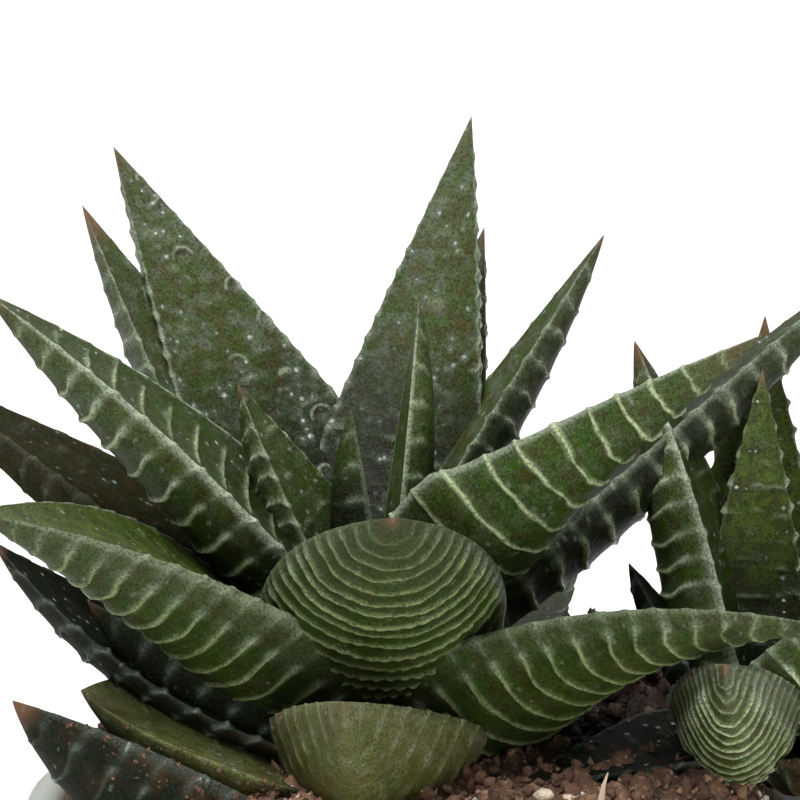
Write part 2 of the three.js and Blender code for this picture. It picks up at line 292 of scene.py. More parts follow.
def leaf_frame(piece, s):
    """Points on the midline, the direction across and the direction out of the upper face."""
    inside = np.clip(s, 0, 1)
    start = math.radians(piece["rise"])
    turn = math.radians(piece["bend"])
    rise = start + turn * inside
    heading = math.radians(piece["heading"])
    if turn:
        forward = (np.sin(rise) - math.sin(start)) / turn
        upward = (math.cos(start) - np.cos(rise)) / turn
    else:
        forward = math.cos(start) * inside
        upward = math.sin(start) * inside
    forward = forward + np.cos(rise) * (s - inside)
    upward = upward + np.sin(rise) * (s - inside)
    at = math.radians(piece["at"])
    centre = piece["centre"]
    point = np.stack([
        centre[0] + piece["dx"] + piece["ring"] * math.cos(at)
        + piece["length"] * forward * math.cos(heading),
        centre[1] + piece["dy"] + piece["ring"] * math.sin(at)
        + piece["length"] * forward * math.sin(heading),
        piece["height"] + piece["length"] * upward,
    ], axis=-1)
    side = np.array([-math.sin(heading), math.cos(heading), 0.0])
    face = np.stack([-np.sin(rise) * math.cos(heading), -np.sin(rise) * math.sin(heading),
                     np.cos(rise)], axis=-1)
    roll = np.radians(piece["roll"] + piece["twist"] * inside)[..., None]
    across = side * np.cos(roll) + face * np.sin(roll)
    out = face * np.cos(roll) - side * np.sin(roll)
    return point, across, out


def half_width(piece, s):
    inside = np.clip(s, 0, 1)
    near = NECK_WIDTH + (1 - NECK_WIDTH) * np.sin(np.minimum(inside / WIDEST_AT, 1) * math.pi / 2)
    far = 1 - (np.clip(inside - WIDEST_AT, 0, 1) / (1 - WIDEST_AT)) ** piece["taper"]
    return piece["width"] / 2 * np.where(inside < WIDEST_AT, near, far)


def thickness(piece, s):
    inside = np.clip(s, 0, 1)
    swell = NECK_DEPTH + (1 - NECK_DEPTH) * np.sin(np.minimum(inside / THICKEST_AT, 1) * math.pi / 2)
    return piece["depth"] * swell * (1 - inside ** piece["deep"]) ** 0.9


def leaf_rows(piece):
    """The rows of the leaf's mesh, close together on each ridge: share of the length, distance
    from the ridge, and the row's place counted in ridges."""
    length = piece["length"]
    ridges = max(3, round((LAST_RIDGE - FIRST_RIDGE) * length / piece["pitch"]))
    step = (LAST_RIDGE - FIRST_RIDGE) / ridges
    shares = list(np.linspace(-piece["run"] / length, FIRST_RIDGE, 4, endpoint=False))
    away = [9.0] * 4
    count = [0.0] * 4
    for ridge in range(ridges):
        for offset in RIDGE_ROWS:
            shares.append(FIRST_RIDGE + (ridge + 0.5 + offset) * step)
            away.append(abs(offset) * step * length)
            count.append(ridge + 0.5 + offset)
    shares += list(np.linspace(LAST_RIDGE, 0.988, 5))
    away += [9.0] * 5
    count += [float(ridges)] * 5
    return np.array(shares), np.array(away), np.array(count), ridges


def leaf_blank(rows, columns):
    """A closed tube of the wanted number of rows and columns, as the leaf's starting shape."""
    bpy.ops.object.select_all(action="DESELECT")
    bpy.ops.mesh.primitive_cylinder_add(vertices=columns, radius=1, depth=2, end_fill_type="TRIFAN")
    piece = bpy.context.object
    bpy.ops.object.mode_set(mode="EDIT")
    bpy.ops.mesh.select_mode(type="EDGE")
    bpy.ops.mesh.select_all(action="DESELECT")
    bpy.ops.object.mode_set(mode="OBJECT")
    mesh = piece.data
    for edge in mesh.edges:
        low, high = (mesh.vertices[i].co for i in edge.vertices)
        edge.select = abs(low.z - high.z) > 1
    bpy.ops.object.mode_set(mode="EDIT")
    bpy.ops.mesh.subdivide(number_cuts=rows - 2)
    bpy.ops.object.mode_set(mode="OBJECT")
    return piece


def blank_places(mesh, rows, columns):
    """Row and column of each vertex of a blank; the two cap centres get column -1."""
    co = np.empty(len(mesh.vertices) * 3)
    mesh.vertices.foreach_get("co", co)
    co = co.reshape(-1, 3)
    row = np.rint((co[:, 2] + 1) / 2 * (rows - 1)).astype(int)
    turn = np.arctan2(co[:, 1], co[:, 0]) / (2 * math.pi)
    column = np.rint(turn * columns).astype(int) % columns
    column[np.hypot(co[:, 0], co[:, 1]) < 0.5] = -1
    return row, column


def ridge_waves(piece, seed, ridges, u, count):
    """How far each row wavers from its ridge's even line, in millimetres."""
    chance = np.random.default_rng(seed)
    start = chance.uniform(0, 2 * math.pi, (ridges + 2, 3, 1))
    swing = chance.uniform(0.6, 1.2, (ridges + 2, 1))
    wave = swing * (0.5 * np.sin(2.2 * u + start[:, 0]) + 0.3 * np.sin(5.3 * u + start[:, 1])
                    + 0.25 * np.sin(12.0 * u + start[:, 2]))
    place = np.clip(count - 0.5, 0, ridges)
    low = np.floor(place).astype(int)
    share = (place - low)[:, None]
    return piece["wave"] * RIDGE_WAVE * ((1 - share) * wave[low] + share * wave[low + 1])


def leaf_grid(piece, seed):
    """The leaf's points row by row, with its ridges, teeth and warts, and the marks that colour it."""
    chance = np.random.default_rng(seed + 500)
    shares, away, count, ridges = leaf_rows(piece)
    columns = piece["columns"]
    turn = np.arange(columns) / columns
    upper = turn < 0.5
    t = np.where(upper, turn, 1 - turn) * 2
    u = 0.35 * np.cos(math.pi * t) + 0.65 * (1 - 2 * t)
    length = piece["length"]

    # Rows run straight across, waver a little, and hook toward the tip where their ridge ends
    wave = ridge_waves(piece, seed, ridges, u, count)
    margin_wave = ridge_waves(piece, seed, ridges, np.array([-1.0, 1.0]), count)
    level = margin_wave[:, :1] * (1 - u) / 2 + margin_wave[:, 1:] * (1 + u) / 2
    wave = np.where(upper, level, wave)
    settled = np.clip(shares / 0.15, 0, 1)[:, None] * np.clip((1 - shares) / 0.1, 0, 1)[:, None]
    right_end, left_end = piece["ends"]
    reach = (1 - smooth(u, left_end - 0.06, left_end + 0.06)) * (
        1 - smooth(-u, right_end - 0.06, right_end + 0.06))
    hook = smooth(u, left_end - 0.3, left_end) + smooth(-u, right_end - 0.3, right_end)
    s = shares[:, None] + settled * (RIDGE_HOOK * hook * ~upper + wave) / length
    s = np.minimum(s, LAST_ROW)

    # The D-shaped section
    point, across, out = leaf_frame(piece, s)
    half = half_width(piece, s)
    edge = MARGIN_THICKNESS * half
    depth = (thickness(piece, s) + edge) * np.clip(1 - u * u, 0, 1) ** SECTION_POWER
    lift = np.where(upper, edge * u * u, edge - depth)
    grid = point + across * (u * half)[..., None] + out * lift[..., None]
    along = np.gradient(grid, axis=0)
    around = np.roll(grid, -1, axis=1) - np.roll(grid, 1, axis=1)
    normal = np.cross(around, along)
    normal /= np.linalg.norm(normal, axis=-1, keepdims=True) + 1e-9

    # Ridges across the underside, broken into beads near the base on some leaves
    x = u * half
    index = np.clip(np.floor(count), 0, ridges).astype(int)
    phase = chance.uniform(0, 2 * math.pi, ridges + 2)[index][:, None]
    strength = chance.uniform(0.7, 1.15, ridges + 2)[index][:, None]
    beading = piece["beads"] * (0.25 + 0.75 * (1 - smooth(shares, 0.1, 0.5)))[:, None]
    wide = RIDGE_WIDTH * (1 + 0.3 * np.sin(1.1 * x + phase) + 0.2 * np.sin(3.7 * x + 2 * phase)
                          + 0.5 * beading)
    crest = np.exp(-(away[:, None] / wide) ** 2)
    swell = np.exp(-(away / RIDGE_FOOT) ** 2)[:, None]
    fade = smooth(shares, -0.02, 0.05)[:, None] * (1 - 0.75 * smooth(shares, 0.6, 0.95)[:, None])
    beads = 1 - beading * (0.5 - 0.5 * np.cos(2 * math.pi * x / BEAD_SPACING + phase)) ** 1.3
    face = np.where(upper, piece["upper_ridge"] * (1 - smooth(np.abs(u), 0.5, 0.8)), reach)
    amount = fade * strength * beads * face
    height = piece["ridge"] * amount * (0.75 * crest + 0.25 * swell)
    line = np.exp(-(away[:, None] / (0.8 * wide)) ** 2)
    ridge_mark = 1.35 * line * amount * min(1.0, piece["ridge"] / 0.3)

    # A bead where a ridge ends, and small teeth on the margins
    rim = smooth(np.abs(u), 0.86, 0.99)
    tooth = np.exp(-(away / TOOTH_WIDTH) ** 2)[:, None] * rim * fade * piece["teeth"]
    height = height + TOOTH_HEIGHT * tooth * strength
    end_x = np.where(u > 0, left_end, right_end) * half
    off_end = (np.abs(x) - end_x) ** 2 + away[:, None] ** 2
    at_end = np.exp(-off_end / TOOTH_WIDTH ** 2) * ~upper * fade
    height = height + END_BEAD_HEIGHT * at_end * strength
    bead_mark = 0.5 * tooth * strength + 0.8 * at_end * strength

    # Short raised arcs in loose rows on the upper face
    where_upper = np.where(upper & (np.abs(u) < 0.97))[0]
    for ridge in range(ridges):
        share = FIRST_RIDGE + (LAST_RIDGE - FIRST_RIDGE) * (ridge + 0.5) / ridges
        if share > 0.9:
            continue
        rows = np.where(np.abs(count - ridge - 0.5) < 0.55)[0]
        block = np.ix_(rows, where_upper)
        side_reach = float(half_width(piece, share)) - 0.8
        spot = -side_reach + chance.uniform(0, 1.5)
        while spot < side_reach:
            size = chance.uniform(0.2, 0.36)
            stretch = chance.choice([1.2, 2.5, 3.5, 5.0])
            down = chance.normal(0, 0.5)
            if chance.random() < piece["warts"]:
                dx = x[block] - spot
                dy = (s[block] - share) * length - down + 0.1 * dx * dx
                bump = np.exp(-((dx / (size * stretch)) ** 2 + (dy / size) ** 2))
                height[block] += piece["wart_height"] * bump
                bead_mark[block] += chance.uniform(0.1, 0.45) * bump
            spot += chance.uniform(1.2, 2.6) + 0.5 * size * stretch

    grid = grid + normal * height[..., None]

    # Dry brown tip, worn patches, the smooth strip beside the margins and the pale margin line
    tip_length = 0.02 + 0.035 * piece["tip"]
    dry = smooth(s, 1 - 2 * tip_length, 1 - 0.4 * tip_length) * piece["dried"]
    strip = (1 - reach) * ~upper * np.ones_like(s)
    edge_line = smooth(np.abs(u), 0.95, 1.0) * piece["edge"] * np.ones_like(s)
    worn = piece["wear"] * (1.5 - smooth(s, 0.1, 0.7)) * (0.6 + 0.4 * rim)
    # Painted shade toward the leaf's base, reaching further up leaves that lie under others
    out_of_painted_shade = smooth(s, piece["dark_base"] - 0.1, piece["dark_base"] + 0.35)
    toward_tip = 0.5 * out_of_painted_shade + 0.5 * smooth(s, 0.4, 1.1)
    marks = {
        "leaf_marks": np.stack([np.clip(ridge_mark, 0, 1), toward_tip,
                                np.clip(bead_mark, 0, 1), np.broadcast_to(upper, s.shape)], axis=-1),
        "leaf_wear": np.stack([dry, worn, strip, edge_line], axis=-1),
        "leaf_place": np.stack([x, s * length, np.full_like(s, 2.0 * seed),
                                piece["arcs"] * smooth(-u, -0.1, 0.4) * np.ones_like(s)], axis=-1),
        "leaf_dots": np.stack([piece["dots"] * (0.35 + 0.65 * upper) * np.ones_like(s)] * 4, axis=-1),
    }
    base = grid[0].mean(axis=0)
    tip = leaf_frame(piece, np.array(1.0))[0]
    return grid, base, tip, marks


def make_leaf(name, piece, seed, materials):
    """One leaf from a closed tube whose rows and columns follow the leaf's ridges and section."""
    grid, base, tip, marks = leaf_grid(piece, seed)
    rows, columns = grid.shape[:2]
    blank = leaf_blank(rows, columns)
    mesh = blank.data
    row, column = blank_places(mesh, rows, columns)
    ends = np.where(row == 0, 0, 1)
    centre = np.stack([base, tip])[ends]
    co = np.where((column < 0)[:, None], centre, grid[row, column])
    mesh.vertices.foreach_set("co", (co * MM).ravel())
    for attribute, values in marks.items():
        layer = mesh.attributes.new(attribute, "FLOAT_COLOR", "POINT")
        layer.data.foreach_set("color", values[row, column].astype(np.float32).ravel())
    mesh.update()
    blank.name = name + "_flesh"
    mesh.name = blank.name
    finish_piece(blank, materials[piece["flesh"]], "leaf", name)


# Colours of the leaves by their age and place in the rosette; the shade skin is a darker copy that
# paints shade on leaves lying in shadow
SKINS = {
    "young": dict(name="young_haworthia_skin", under="#2b3c0c", light="#3d4e1a", over="#394a18",
                  strip="#4b562e", tip="#585c48", green="#2e5209", brown="#3b3712", bloom="#566140",
                  ridge="#98a47c", bead="#a0aa8e", rough=0.42, gloss=0.25),
    "fresh": dict(name="haworthia_skin", under="#1f3303", light="#37470a", over="#31410e",
                  strip="#444e1d", tip="#585c48", green="#254903", brown="#342a06", bloom="#48523a",
                  ridge="#a6b38a", bead="#9ea993", rough=0.5, gloss=0.14),
    "deep": dict(name="deep_green_haworthia_skin", under="#1b2c04", light="#303e09", over="#4b5a1c",
                 strip="#394320", tip="#50543f", green="#214002", brown="#2a1f06", bloom="#363e21",
                 ridge="#7d895e", bead="#7f8a73", rough=0.5, gloss=0.14),
    "grey": dict(name="bloomed_haworthia_skin", under="#27360d", light="#3b4919", over="#3d471f",
                 strip="#4d5838", tip="#585c48", green="#2c4c09", brown="#403312", bloom="#606a5c",
                 ridge="#8f9b74", bead="#9aa68f", rough=0.48, gloss=0.2),
    "shade": dict(name="painted_shade_haworthia_skin", under="#0d1006", light="#161a0b", over="#10130a",
                  strip="#191d13", tip="#20241a", green="#0f1807", brown="#171109", bloom="#1c241f",
                  ridge="#323c2c", bead="#65716a", rough=0.6, gloss=0.04),
    "dull": dict(name="dull_haworthia_skin", under="#41471a", light="#565b28", over="#727945",
                 strip="#5c603a", tip="#6a6d52", green="#435011", brown="#4d411b", bloom="#6b6f55",
                 ridge="#6f7547", bead="#7b8064", rough=0.6, gloss=0.15),
    "old": dict(name="aged_haworthia_skin", under="#1a1b0d", light="#2c2e14", over="#252616",
                strip="#2a2a1b", tip="#45463a", green="#1f260d", brown="#251c0f", bloom="#33332a",
                ridge="#3d3c30", bead="#5c6052", rough=0.85, gloss=0.0),
}

# Colours and finish that all leaves share; the radius of an arched mark is in millimetres
# Painted shade laid over the base of every leaf
PAINTED_BASE_SHADE = "#0c0c06"
ARCH_SHADOW = "#2f2a0e"
ARCH_RIM = "#8c9682"
WHITE_DOT_AND_GLINT = "#c0c8bf"
DARK_STIPPLE = "#10160a"
SOIL_DUST = "#503b29"
DRIED_TIP = "#7b5a49"
CUTICLE_IOR = 1.42
CREST_ROUGHNESS = 0.16
ARCH_RADIUS = 1.25


def leaf_material(name, skin):
    """Living succulent skin: a waxy cuticle that shines softly, with pale raised ridges."""
    material, tree, shader = new_material(name)
    place = add_node(tree, "ShaderNodeTexCoord").outputs["Object"]
    marks = add_node(tree, "ShaderNodeAttribute", attribute_name="leaf_marks")
    parts = add_node(tree, "ShaderNodeSeparateColor", {0: marks.outputs["Color"]})
    wear = add_node(tree, "ShaderNodeAttribute", attribute_name="leaf_wear")
    wear_parts = add_node(tree, "ShaderNodeSeparateColor", {0: wear.outputs["Color"]})
    on_leaf = add_node(tree, "ShaderNodeAttribute", attribute_name="leaf_place")
    dots = add_node(tree, "ShaderNodeAttribute", attribute_name="leaf_dots")
    crest, along, bead = parts.outputs[0], parts.outputs[1], parts.outputs[2]
    dry, worn, smooth_strip = wear_parts.outputs[0], wear_parts.outputs[1], wear_parts.outputs[2]

    def showing(*signs):
        """How strongly a mark shows: its signs multiplied. A sign is a number, a value, or a value
        with the level where the mark starts and the level where it is full."""
        share = None
        for sign in signs:
            if isinstance(sign, tuple):
                value, start, full = sign
                ramp = add_node(tree, "ShaderNodeMapRange",
                                {"Value": value, "From Min": start, "From Max": full})
                sign = ramp.outputs[0]
            if share is not None:
                product = add_node(tree, "ShaderNodeMath", {0: share, 1: sign},
                                   operation="MULTIPLY")
                sign = product.outputs[0]
            share = sign
        return share

    def speckle(scale, start, full, detail=2.0):
        """A sign for patches of noise, scale of them to the metre."""
        grain = add_node(tree, "ShaderNodeTexNoise",
                         {"Vector": place, "Scale": scale, "Detail": detail, "Roughness": 0.65})
        return grain.outputs[0], start, full

    def spots(scale, chosen):
        """Scattered places on the leaf, scale of them to the millimetre: the way from the nearest
        one in millimetres, its length, a sign for the chosen places, and the place's own chance."""
        cells = add_node(tree, "ShaderNodeTexVoronoi",
                         {"Vector": on_leaf.outputs["Vector"], "Scale": scale, "Randomness": 0.9})
        way = add_node(tree, "ShaderNodeVectorMath",
                       {0: on_leaf.outputs["Vector"], 1: cells.outputs["Position"]},
                       operation="SUBTRACT")
        away = add_node(tree, "ShaderNodeVectorMath", {0: way.outputs["Vector"]}, operation="LENGTH")
        chance = add_node(tree, "ShaderNodeSeparateColor", {0: cells.outputs["Color"]})
        picked = (chance.outputs[0], chosen, chosen - 0.02)
        return way.outputs["Vector"], away.outputs["Value"], picked, chance.outputs[1]

    # Arched marks 3 mm wide: a pale rim, a painted shadow under it and a grey bloom in the middle
    way, away, picked, _ = spots(0.33, 0.75)
    way_up = add_node(tree, "ShaderNodeSeparateXYZ", {0: way}).outputs[1]
    chosen = showing(picked, on_leaf.outputs["Alpha"])
    off_arc = add_node(tree, "ShaderNodeMath", {0: away, 1: ARCH_RADIUS}, operation="SUBTRACT")
    off_arc = add_node(tree, "ShaderNodeMath", {0: off_arc.outputs[0]}, operation="ABSOLUTE")
    arch = showing((off_arc.outputs[0], 0.3, 0.06), (way_up, -0.3, 0.3), chosen)
    painted_shadow_under_arch = showing((away, 1.2, 0.85), (way_up, 0.0, 0.4), chosen)
    in_middle = showing((away, 1.1, 0.4), (way_up, 0.6, 0.1), chosen)

    # White dots 0.2 to 0.4 mm wide in clusters, pale tubercles with a painted glint, each in a faint
    # halo of painted sheen
    _, away, picked, chance = spots(0.9, 0.6)
    size = add_node(tree, "ShaderNodeMath", {0: chance, 1: 0.25}, operation="ADD")
    spread = add_node(tree, "ShaderNodeMath", {0: away, 1: size.outputs[0]}, operation="DIVIDE")
    clustered = showing(picked, speckle(260.0, 0.46, 0.54, 1.0), dots.outputs["Fac"])
    dot = showing((spread.outputs[0], 0.34, 0.08), clustered)
    painted_glint_halo = showing((spread.outputs[0], 1.0, 0.3), clustered, 0.5)

    # The coats of colour, each laid over those before it: its colour and its signs
    coats = [
        # Patches about 6 mm across; the upper face and the strip beside the margins differ
        (skin["light"], speckle(170.0, 0.35, 0.68, 3.0)),
        (skin["over"], marks.outputs["Alpha"]),
        (skin["strip"], smooth_strip),
        # Mottling of 2 to 3 mm: deeper green, olive brown and waxy grey bloom
        (skin["green"], speckle(380.0, 0.44, 0.64, 1.5), 0.6),
        (skin["brown"], speckle(470.0, 0.47, 0.66, 1.5), 0.65),
        (skin["bloom"], speckle(520.0, 0.48, 0.68, 1.5), 0.6),
        # Painted shade toward the base, and the tip's own colour toward the tip
        (PAINTED_BASE_SHADE, (along, 0.5, 0.0), 0.9),
        (skin["tip"], (along, 0.5, 1.0), 0.35),
        (ARCH_SHADOW, painted_shadow_under_arch, 0.8),
        (skin["bloom"], in_middle, 0.6),
        (ARCH_RIM, arch, 0.75),
        (skin["bloom"], painted_glint_halo),
        # Ridges, beads, the pale margin and the white dots with their painted glints
        (skin["ridge"], crest),
        (skin["bead"], bead),
        (skin["bead"], wear.outputs["Alpha"]),
        (WHITE_DOT_AND_GLINT, dot),
        # Stipple of 0.2 to 0.3 mm, darker and paler
        (DARK_STIPPLE, speckle(3200.0, 0.46, 0.62), 0.6),
        (skin["bead"], speckle(3700.0, 0.52, 0.66), 0.09),
        # Dust and dried skin where the leaf is worn, and a brown dried tip
        (SOIL_DUST, speckle(330.0, 0.47, 0.62, 4.0), worn),
        (DRIED_TIP, dry),
    ]
    colour = linear(skin["under"])
    for coat, *signs in coats:
        laid = add_node(tree, "ShaderNodeMix",
                        {0: showing(*signs), 6: colour, 7: linear(coat)}, data_type="RGBA")
        colour = laid.outputs[2]
    tree.links.new(colour, shader.inputs["Base Color"])

    # Cuticle: softer in the hollows, glossier on ridges, beads and dots
    shine = add_node(tree, "ShaderNodeMath", {0: crest, 1: bead}, operation="MAXIMUM")
    shine = add_node(tree, "ShaderNodeMath", {0: shine.outputs[0], 1: dot}, operation="MAXIMUM")
    roughness = add_node(tree, "ShaderNodeMapRange",
                         {"Value": shine.outputs[0], "From Min": 0.0, "From Max": 0.8,
                          "To Min": skin["rough"], "To Max": CREST_ROUGHNESS})
    tree.links.new(roughness.outputs[0], shader.inputs["Roughness"])
    shader.inputs["IOR"].default_value = CUTICLE_IOR
    shader.inputs["Specular IOR Level"].default_value = skin["gloss"]
    relief = showing(speckle(1900.0, 0.0, 1.0, 3.0), 0.7)
    raised = add_node(tree, "ShaderNodeMath", {0: relief, 1: dot}, operation="ADD")
    raised = add_node(tree, "ShaderNodeMath", {0: raised.outputs[0], 1: arch}, operation="ADD")
    bump = add_node(tree, "ShaderNodeBump",
                    {"Height": raised.outputs[0], "Strength": 0.7, "Distance": 0.0002})
    tree.links.new(bump.outputs[0], shader.inputs["Normal"])
    return material


# Soil

def soil_height(x, y):
    radius = np.hypot(x, y)
    back = smooth(y, -5, 33)
    shoulder = 1 - np.minimum(radius / SOIL_RADIUS, 1) ** 10
    crumbs = (np.sin(0.61 * x + 1.3) * np.cos(0.53 * y - 0.4) + 0.7 * np.sin(1.07 * x - 0.83 * y)
              + 0.5 * np.cos(0.9 * x + 1.31 * y + 0.6))
    return SOIL_EDGE_HEIGHT + (SOIL_FRONT_RISE + SOIL_BACK_RISE * back + SOIL_LUMP * crumbs) * shoulder


def crumb_relief(x, y, z):
    """Fine unevenness of crumbly peat, in millimetres."""
    place = Vector((x, y, z))
    coarse = noise.fractal(place * 0.32, 0.9, 2.1, 4)
    clods = noise.cell(place * 0.55)
    return 0.55 * coarse + 0.35 * clods


def painted_soil_shade(x, y):
    """1 where shade is painted on the soil, in the hollow between the two rosettes, and 0 far off."""
    across, deep = SOIL_SHADE_CENTRE
    return np.exp(-((x - across) ** 2 + (y - deep) ** 2) / SOIL_SHADE_REACH ** 2)


def make_soil(material):
    """The soil mound: a closed tube whose rows run from the middle out, down the wall and back."""
    radii = list(np.linspace(0.6, SOIL_RADIUS, SOIL_ROWS)[::-1])
    rows = len(SOIL_WALL) + len(radii)
    blank = leaf_blank(rows, SOIL_SECTORS)
    mesh = blank.data
    row, column = blank_places(mesh, rows, SOIL_SECTORS)
    co = np.zeros((len(row), 3))
    for i, (ring, sector) in enumerate(zip(row, column)):
        angle = 2 * math.pi * sector / SOIL_SECTORS
        if sector < 0:
            top = soil_height(0.0, 0.0)
            co[i] = (0, 0, SOIL_WALL[0][1] if ring == 0 else top)
        elif ring < len(SOIL_WALL):
            radius, height = SOIL_WALL[ring]
            co[i] = (radius * math.cos(angle), radius * math.sin(angle), height)
        else:
            radius = radii[ring - len(SOIL_WALL)]
            x, y = radius * math.cos(angle), radius * math.sin(angle)
            height = float(soil_height(x, y))
            settle = min(1.0, (SOIL_RADIUS - radius) / 1.5)
            co[i] = (x, y, height + settle * crumb_relief(x, y, height))
    mesh.vertices.foreach_set("co", (co * MM).ravel())
    # Painted shade, kept on the mesh for the material
    shade_share = np.tile(painted_soil_shade(co[:, 0], co[:, 1])[:, None], (1, 4))
    layer = mesh.attributes.new("painted_shade_on_soil", "FLOAT_COLOR", "POINT")
    layer.data.foreach_set("color", shade_share.astype(np.float32).ravel())
    mesh.update()
    blank.name = "soil_mound"
    mesh.name = "soil_mound"
    finish_piece(blank, material, "soil", "soil")


def soil_material():
    """Peat-based potting mix: dark brown, crumbly and quite matt."""
    material, tree, shader = new_material("peat_potting_mix")
    place = add_node(tree, "ShaderNodeTexCoord").outputs["Object"]
    broad = add_node(tree, "ShaderNodeTexNoise",
                     {"Vector": place, "Scale": 300.0, "Detail": 5.0, "Roughness": 0.65})
    grit = add_node(tree, "ShaderNodeTexNoise",
                    {"Vector": place, "Scale": 1900.0, "Detail": 3.0, "Roughness": 0.7})
    wet = add_node(tree, "ShaderNodeMapRange",
                   {"Value": broad.outputs[0], "From Min": 0.35, "From Max": 0.66})
    earth = add_node(tree, "ShaderNodeMix",
                     {0: wet.outputs[0], 6: linear("#4a3225"), 7: linear("#96725a")},
                     data_type="RGBA")
    pale = add_node(tree, "ShaderNodeMapRange",
                    {"Value": grit.outputs[0], "From Min": 0.58, "From Max": 0.72})
    flecked = add_node(tree, "ShaderNodeMix",
                       {0: pale.outputs[0], 6: earth.outputs[2], 7: linear("#bd9f87")},
                       data_type="RGBA")
    shade_share = add_node(tree, "ShaderNodeAttribute", attribute_name="painted_shade_on_soil")
    # Painted shade darkens the soil in the hollow between the two rosettes
    shaded_soil = add_node(tree, "ShaderNodeMix",
                      {0: shade_share.outputs["Fac"], 6: flecked.outputs[2], 7: linear("#0f0b08")},
                      data_type="RGBA")
    tree.links.new(shaded_soil.outputs[2], shader.inputs["Base Color"])
    shader.inputs["Roughness"].default_value = 0.95
    bump = add_node(tree, "ShaderNodeBump",
                    {"Height": grit.outputs[0], "Strength": 0.9, "Distance": 0.0005})
    tree.links.new(bump.outputs[0], shader.inputs["Normal"])
    return material


def crumb_material():
    """Loose peat, bark and perlite grains, each with its own tint from the mesh."""
    material, tree, shader = new_material("loose_peat_and_perlite")
    place = add_node(tree, "ShaderNodeTexCoord").outputs["Object"]
    tint = add_node(tree, "ShaderNodeAttribute", attribute_name="crumb_tint")
    grit = add_node(tree, "ShaderNodeTexNoise",
                    {"Vector": place, "Scale": 2200.0, "Detail": 3.0, "Roughness": 0.7})
    shade = add_node(tree, "ShaderNodeMapRange",
                     {"Value": grit.outputs[0], "From Min": 0.3, "From Max": 0.7,
                      "To Min": 0.55, "To Max": 1.35})
    colour = add_node(tree, "ShaderNodeMix",
                      {0: 1.0, 6: tint.outputs["Color"], 7: shade.outputs[0]},
                      data_type="RGBA", blend_type="MULTIPLY")
    tree.links.new(colour.outputs[2], shader.inputs["Base Color"])
    shader.inputs["Roughness"].default_value = 0.9
    bump = add_node(tree, "ShaderNodeBump",
                    {"Height": grit.outputs[0], "Strength": 0.8, "Distance": 0.0003})
    tree.links.new(bump.outputs[0], shader.inputs["Normal"])
    return material


def crumb_shapes():
    """The grain shapes, each a coarse sphere pushed out of round."""
    shapes = []
    for number, stretch in enumerate(GRAIN_STRETCHES):
        bpy.ops.object.select_all(action="DESELECT")
        bpy.ops.mesh.primitive_uv_sphere_add(segments=7, ring_count=5, radius=1)
        bpy.ops.object.mode_set(mode="EDIT")
        bpy.ops.mesh.quads_convert_to_tris()
        bpy.ops.object.mode_set(mode="OBJECT")
        grain = bpy.context.object
        points = []
        for vertex in grain.data.vertices:
            uneven = noise.noise(vertex.co * 1.3 + Vector((7.0 * number, 0, 0)))
            push = 1 + GRAIN_UNEVENNESS * uneven
            points.append([vertex.co[i] * push * stretch[i] for i in range(3)])
        faces = [tuple(polygon.vertices) for polygon in grain.data.polygons]
        shapes.append((np.array(points), np.array(faces)))
        bpy.data.objects.remove(grain)
    return shapes


def turned_about(chance):
    """A random turn, as a matrix."""
    a, b, c = chance.uniform(0, 2 * math.pi, 3)
    turn_x = np.array([[1, 0, 0], [0, math.cos(a), -math.sin(a)], [0, math.sin(a), math.cos(a)]])
    turn_y = np.array([[math.cos(b), 0, math.sin(b)], [0, 1, 0], [-math.sin(b), 0, math.cos(b)]])
    turn_z = np.array([[math.cos(c), -math.sin(c), 0], [math.sin(c), math.cos(c), 0], [0, 0, 1]])
    return turn_z @ turn_y @ turn_x


def make_crumbs(name, places, shapes, material, seed):
    """Grains at the given places, each place a point, a size and a tint, as one mesh."""
    chance = np.random.default_rng(seed)
    points, faces, tints = [], [], []
    start = 0
    for place, size, tint in places:
        shape, triangles = shapes[chance.integers(len(shapes))]
        moved = shape * size @ turned_about(chance).T + place
        points.append(moved)
        faces.append(triangles + start)
        # Crumbs in that hollow are darkened by the same painted shade
        dried = 1 - 0.85 * painted_soil_shade(place[0], place[1])
        tints.append(np.tile(np.array(linear(tint)) * dried, (len(moved), 1)))
        start += len(moved)
    mesh = bpy.data.meshes.new(name)
    mesh.from_pydata((np.concatenate(points) * MM).tolist(), [], np.concatenate(faces).tolist())
    layer = mesh.attributes.new("crumb_tint", "FLOAT_COLOR", "POINT")
    layer.data.foreach_set("color", np.concatenate(tints).astype(np.float32).ravel())
    piece = bpy.data.objects.new(name, mesh)
    bpy.context.collection.objects.link(piece)
    finish_piece(piece, material, "soil")


def soil_crumb_places(seed, count, least, spread):
    """Places all over the mound for crumbs of least millimetres and up to spread more."""
    chance = np.random.default_rng(seed)
    places = []
    while len(places) < count:
        radius = SOIL_RADIUS * math.sqrt(chance.random()) * 0.985
        angle = chance.uniform(0, 2 * math.pi)
        x, y = radius * math.cos(angle), radius * math.sin(angle)
        size = least + spread * chance.random() ** 3
        height = float(soil_height(x, y)) + 0.25 * size
        tint = CRUMB_TINTS[min(int(chance.exponential(1.6)), len(CRUMB_TINTS) - 1)]
        if chance.random() < PERLITE_SHARE:
            tint = PERLITE
        places.append((np.array([x, y, height]), size, tint))
    return places


